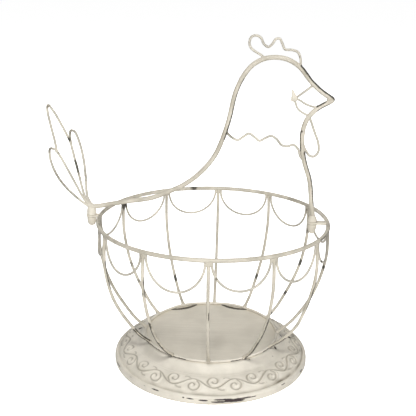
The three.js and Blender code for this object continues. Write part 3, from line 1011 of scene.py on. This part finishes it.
def make_trims():
    for name, points in (
        ("feather_low", LOW_FEATHER), ("feather_high", HIGH_FEATHER), ("feather_tall", TALL_FEATHER),
    ):
        make_wire(name, points, TRIM_WIRE, TRIM_PAINT, "tail_" + name, (0.35, 0.35))
    make_wire("comb_wire", COMB, TRIM_WIRE, TRIM_PAINT, "comb", (1.0, 0.5))
    make_wire("wattle_wire", WATTLE, TRIM_WIRE, TRIM_PAINT, "wattle", (0.8, 0.5))
    make_wire("ruffle_wire", NECK_RUFFLE, TRIM_WIRE, TRIM_PAINT, "neck_ruffle", (0.9, 0.6))
    make_wire("brow", BROW, FACE_WIRE, TRIM_PAINT, "brow_wire", (1.0, 0.2))
    make_wire("beak_line", BEAK_LINE, FACE_WIRE, TRIM_PAINT, "beak_wire", (0.2, 0.9))
    make_wire("cheek", CHEEK, FACE_WIRE, TRIM_PAINT, "cheek_wire", (0.2, 0.9))


def make_eye():
    """A flat blob of weld metal drawn out into short ragged points."""
    ball = bmesh.new()
    bmesh.ops.create_icosphere(ball, subdivisions=5, radius=1)
    unit = np.array([v.co[:] for v in ball.verts])
    faces = [tuple(v.index for v in f.verts) for f in ball.faces]
    ball.free()
    reach = 1 + 0.12 * lumps(unit, 0.6)
    for degrees, length, sharp in (
        (112, 1.15, 10), (109, 1.1, 70), (200, 0.42, 20), (165, 0.3, 20), (32, 0.25, 24),
        (-25, 0.3, 20), (-95, 0.35, 14), (-140, 0.3, 24),
    ):
        toward = np.array([math.cos(math.radians(degrees)), 0, math.sin(math.radians(degrees))])
        reach += length * np.clip(unit @ toward, 0, 1) ** sharp
    points = unit * reach[:, None] * EYE_RADIUS * [0.95, 0.5, 0.95] + [EYE_X, 0, EYE_Z]
    add_piece("eye_star", points, faces, KNOB_PAINT, "trim_paint", ["eye_bead"])


def make_handle_welds():
    """Beads in the fold of the beak, at the tail bundle, between feathers and under the wattle."""
    def bead(x, z, wide, high, deep=1.6, tilt=0.0):
        c, s = math.cos(math.radians(tilt)), math.sin(math.radians(tilt))
        axes = [(wide * c, 0, wide * s), (0, deep, 0), (-high * s, 0, high * c)]
        return np.array([x, 0, z]), axes

    fold = [bead(104.3, 263.8, 2.3, 2.0, 1.7)]
    tail = [
        bead(-119.6, 154.2, 3.4, 2.1, 2.1, -48), bead(-122.6, 158.6, 4.4, 1.6, 1.2, -56),
        bead(-124.6, 163.2, 3.2, 1.0, 1.0, -62), bead(-117.6, 152.6, 2.6, 1.9, 2.5),
        bead(-120.9, 160.2, 4.4, 1.9, 1.3, -74),
    ]
    tips = [bead(-150.1, 208.8, 1.9, 1.3, 1.2, -60), bead(-136.3, 217.8, 2.6, 1.1, 1.2, -72)]
    breast = [bead(83.4, 219.6, 3.0, 1.2, 1.3, 112), bead(86.4, 247.9, 2.8, 2.0, 1.8, -60)]
    head = [bead(77, 291.6, 2.6, 1.6, 1.7, -62), bead(94, 256.8, 2.4, 1.6, 1.6, 30)]
    head += [bead(42.3, 300.9, 1.6, 1.7, 1.6), bead(89.2, 276.6, 2.2, 1.6, 1.6, -40)]
    neck = [bead(9.9, 232, 1.6, 2.6, 1.8, 20), bead(83.6, 207.4, 1.6, 2.8, 1.6, 20)]
    add_piece("beak_weld", *weld_lumps(fold), WIRE_PAINT, "wire_paint")
    add_piece("tail_welds", *weld_lumps(tail, 0.14), TRIM_PAINT, "trim_paint")
    add_piece("feather_welds", *weld_lumps(tips), TRIM_PAINT, "trim_paint")
    add_piece("hen_welds", *weld_lumps(breast + head + neck), WIRE_PAINT, "wire_paint")


# ---------------------------------------------------------------- knobs


def make_knob(name, profile, x, body="basket"):
    points, faces = lathe(rounded(profile), 48)
    points += [x, 0, 0]
    uneven = 1 + 0.02 * lumps(points, 3.0, 2.0)
    points[:, :2] = (points[:, :2] - [x, 0]) * uneven[:, None] + [x, 0]
    add_piece(f"{name}_cap", points, faces, KNOB_PAINT, "wire_paint", [name], body)


TAB_EYE = 4.95
TAB_HALF_WIDTH = 3.5
TAB_HOLE = 2.1
TAB_EASED = 0.35


def tab_outline(tongue):
    """A round eye with a straight tongue that ends at x = tongue."""
    corner = math.asin(TAB_HALF_WIDTH / TAB_EYE)
    start = TAB_EYE * math.cos(corner)
    outline = [
        (TAB_EYE * math.cos(a), TAB_EYE * math.sin(a))
        for a in np.linspace(corner, 2 * math.pi - corner, 60)
    ]
    outline += [(start + (tongue - start) * k / 4, -TAB_HALF_WIDTH) for k in range(1, 5)]
    outline += [(tongue, TAB_HALF_WIDTH * k / 2) for k in (-1, 0, 1)]
    outline += [(tongue - (tongue - start) * k / 5, TAB_HALF_WIDTH) for k in range(5)]
    return np.array(outline)


def make_tab(name, x, tongue):
    """A flat eye for the stud, with a tongue that runs into the rim wire."""
    outer = tab_outline(tongue)
    turn = np.arctan2(outer[:, 1], outer[:, 0])
    inner = TAB_HOLE * np.column_stack([np.cos(turn), np.sin(turn)])
    middle, thick = (TAB_LOW + TAB_HIGH) / 2, (TAB_HIGH - TAB_LOW) / 2
    shrink = 1 - TAB_EASED / TAB_EYE
    section = [
        (inner, thick), (outer * shrink, thick), (outer, thick - TAB_EASED),
        (outer, TAB_EASED - thick), (outer * shrink, -thick), (inner, -thick),
    ]
    count = len(outer)
    points = np.vstack([
        np.column_stack([ring + [x, 0], np.full(count, middle + rise)]) for ring, rise in section
    ])
    faces = []
    for i in range(len(section)):
        j = (i + 1) % len(section)
        for k in range(count):
            m = (k + 1) % count
            faces.append((i * count + k, i * count + m, j * count + m, j * count + k))
    add_piece(f"{name}_plate", points, faces, KNOB_PAINT, "wire_paint", [name])


def make_knobs():
    ceiling, seat, bore = 149.6, 146.5, 2.05
    make_knob("tail_ferrule", [
        [0, ceiling], [bore, ceiling], [bore, seat], [4.75, seat], [4.5, 147.6], [4.4, 149.6],
        [4.3, 151.6], [3.9, 153], [2.9, 154], [0, 154.4],
    ], TAIL_KNOB_X)
    make_knob("breast_ferrule", [
        [0, ceiling], [bore, ceiling], [bore, seat], [4.6, seat], [4.45, 148.4], [3.8, 150.2],
        [2.7, 152.4], [0, 152.8],
    ], BREAST_KNOB_X)
    floor, mouth = 138.0, 143.9
    make_knob("tail_nut", [
        [0, 135.5], [1.8, 135.6], [2.9, 136.2], [3.8, 138], [4.3, 140.4], [4.45, 143],
        [4.3, mouth], [bore, mouth], [bore, floor], [0, floor],
    ], TAIL_KNOB_X, "tail_nut_body")
    make_knob("breast_nut", [
        [0, 134.8], [2.0, 134.8], [2.6, 135.4], [3.5, 137.6], [4.3, 140.6], [4.5, 142.6],
        [4.3, mouth], [bore, mouth], [bore, floor], [0, floor],
    ], BREAST_KNOB_X, "breast_nut_body")
    make_tab("tail_tab", TAIL_KNOB_X, -RIM_RADIUS - 1 - TAIL_KNOB_X)
    make_tab("breast_tab", BREAST_KNOB_X, RIM_RADIUS - 1 - BREAST_KNOB_X)
    for stud in ("tail_stud", "breast_stud"):
        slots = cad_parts[stud].data.materials
        slots.clear()
        slots.append(STEEL)


make_camera()
make_studio()
make_rim()
make_foot_ring()
make_ribs()
make_scallops()
make_bowl_welds()
make_base()
make_handle()
make_trims()
make_eye()
make_handle_welds()
make_knobs()
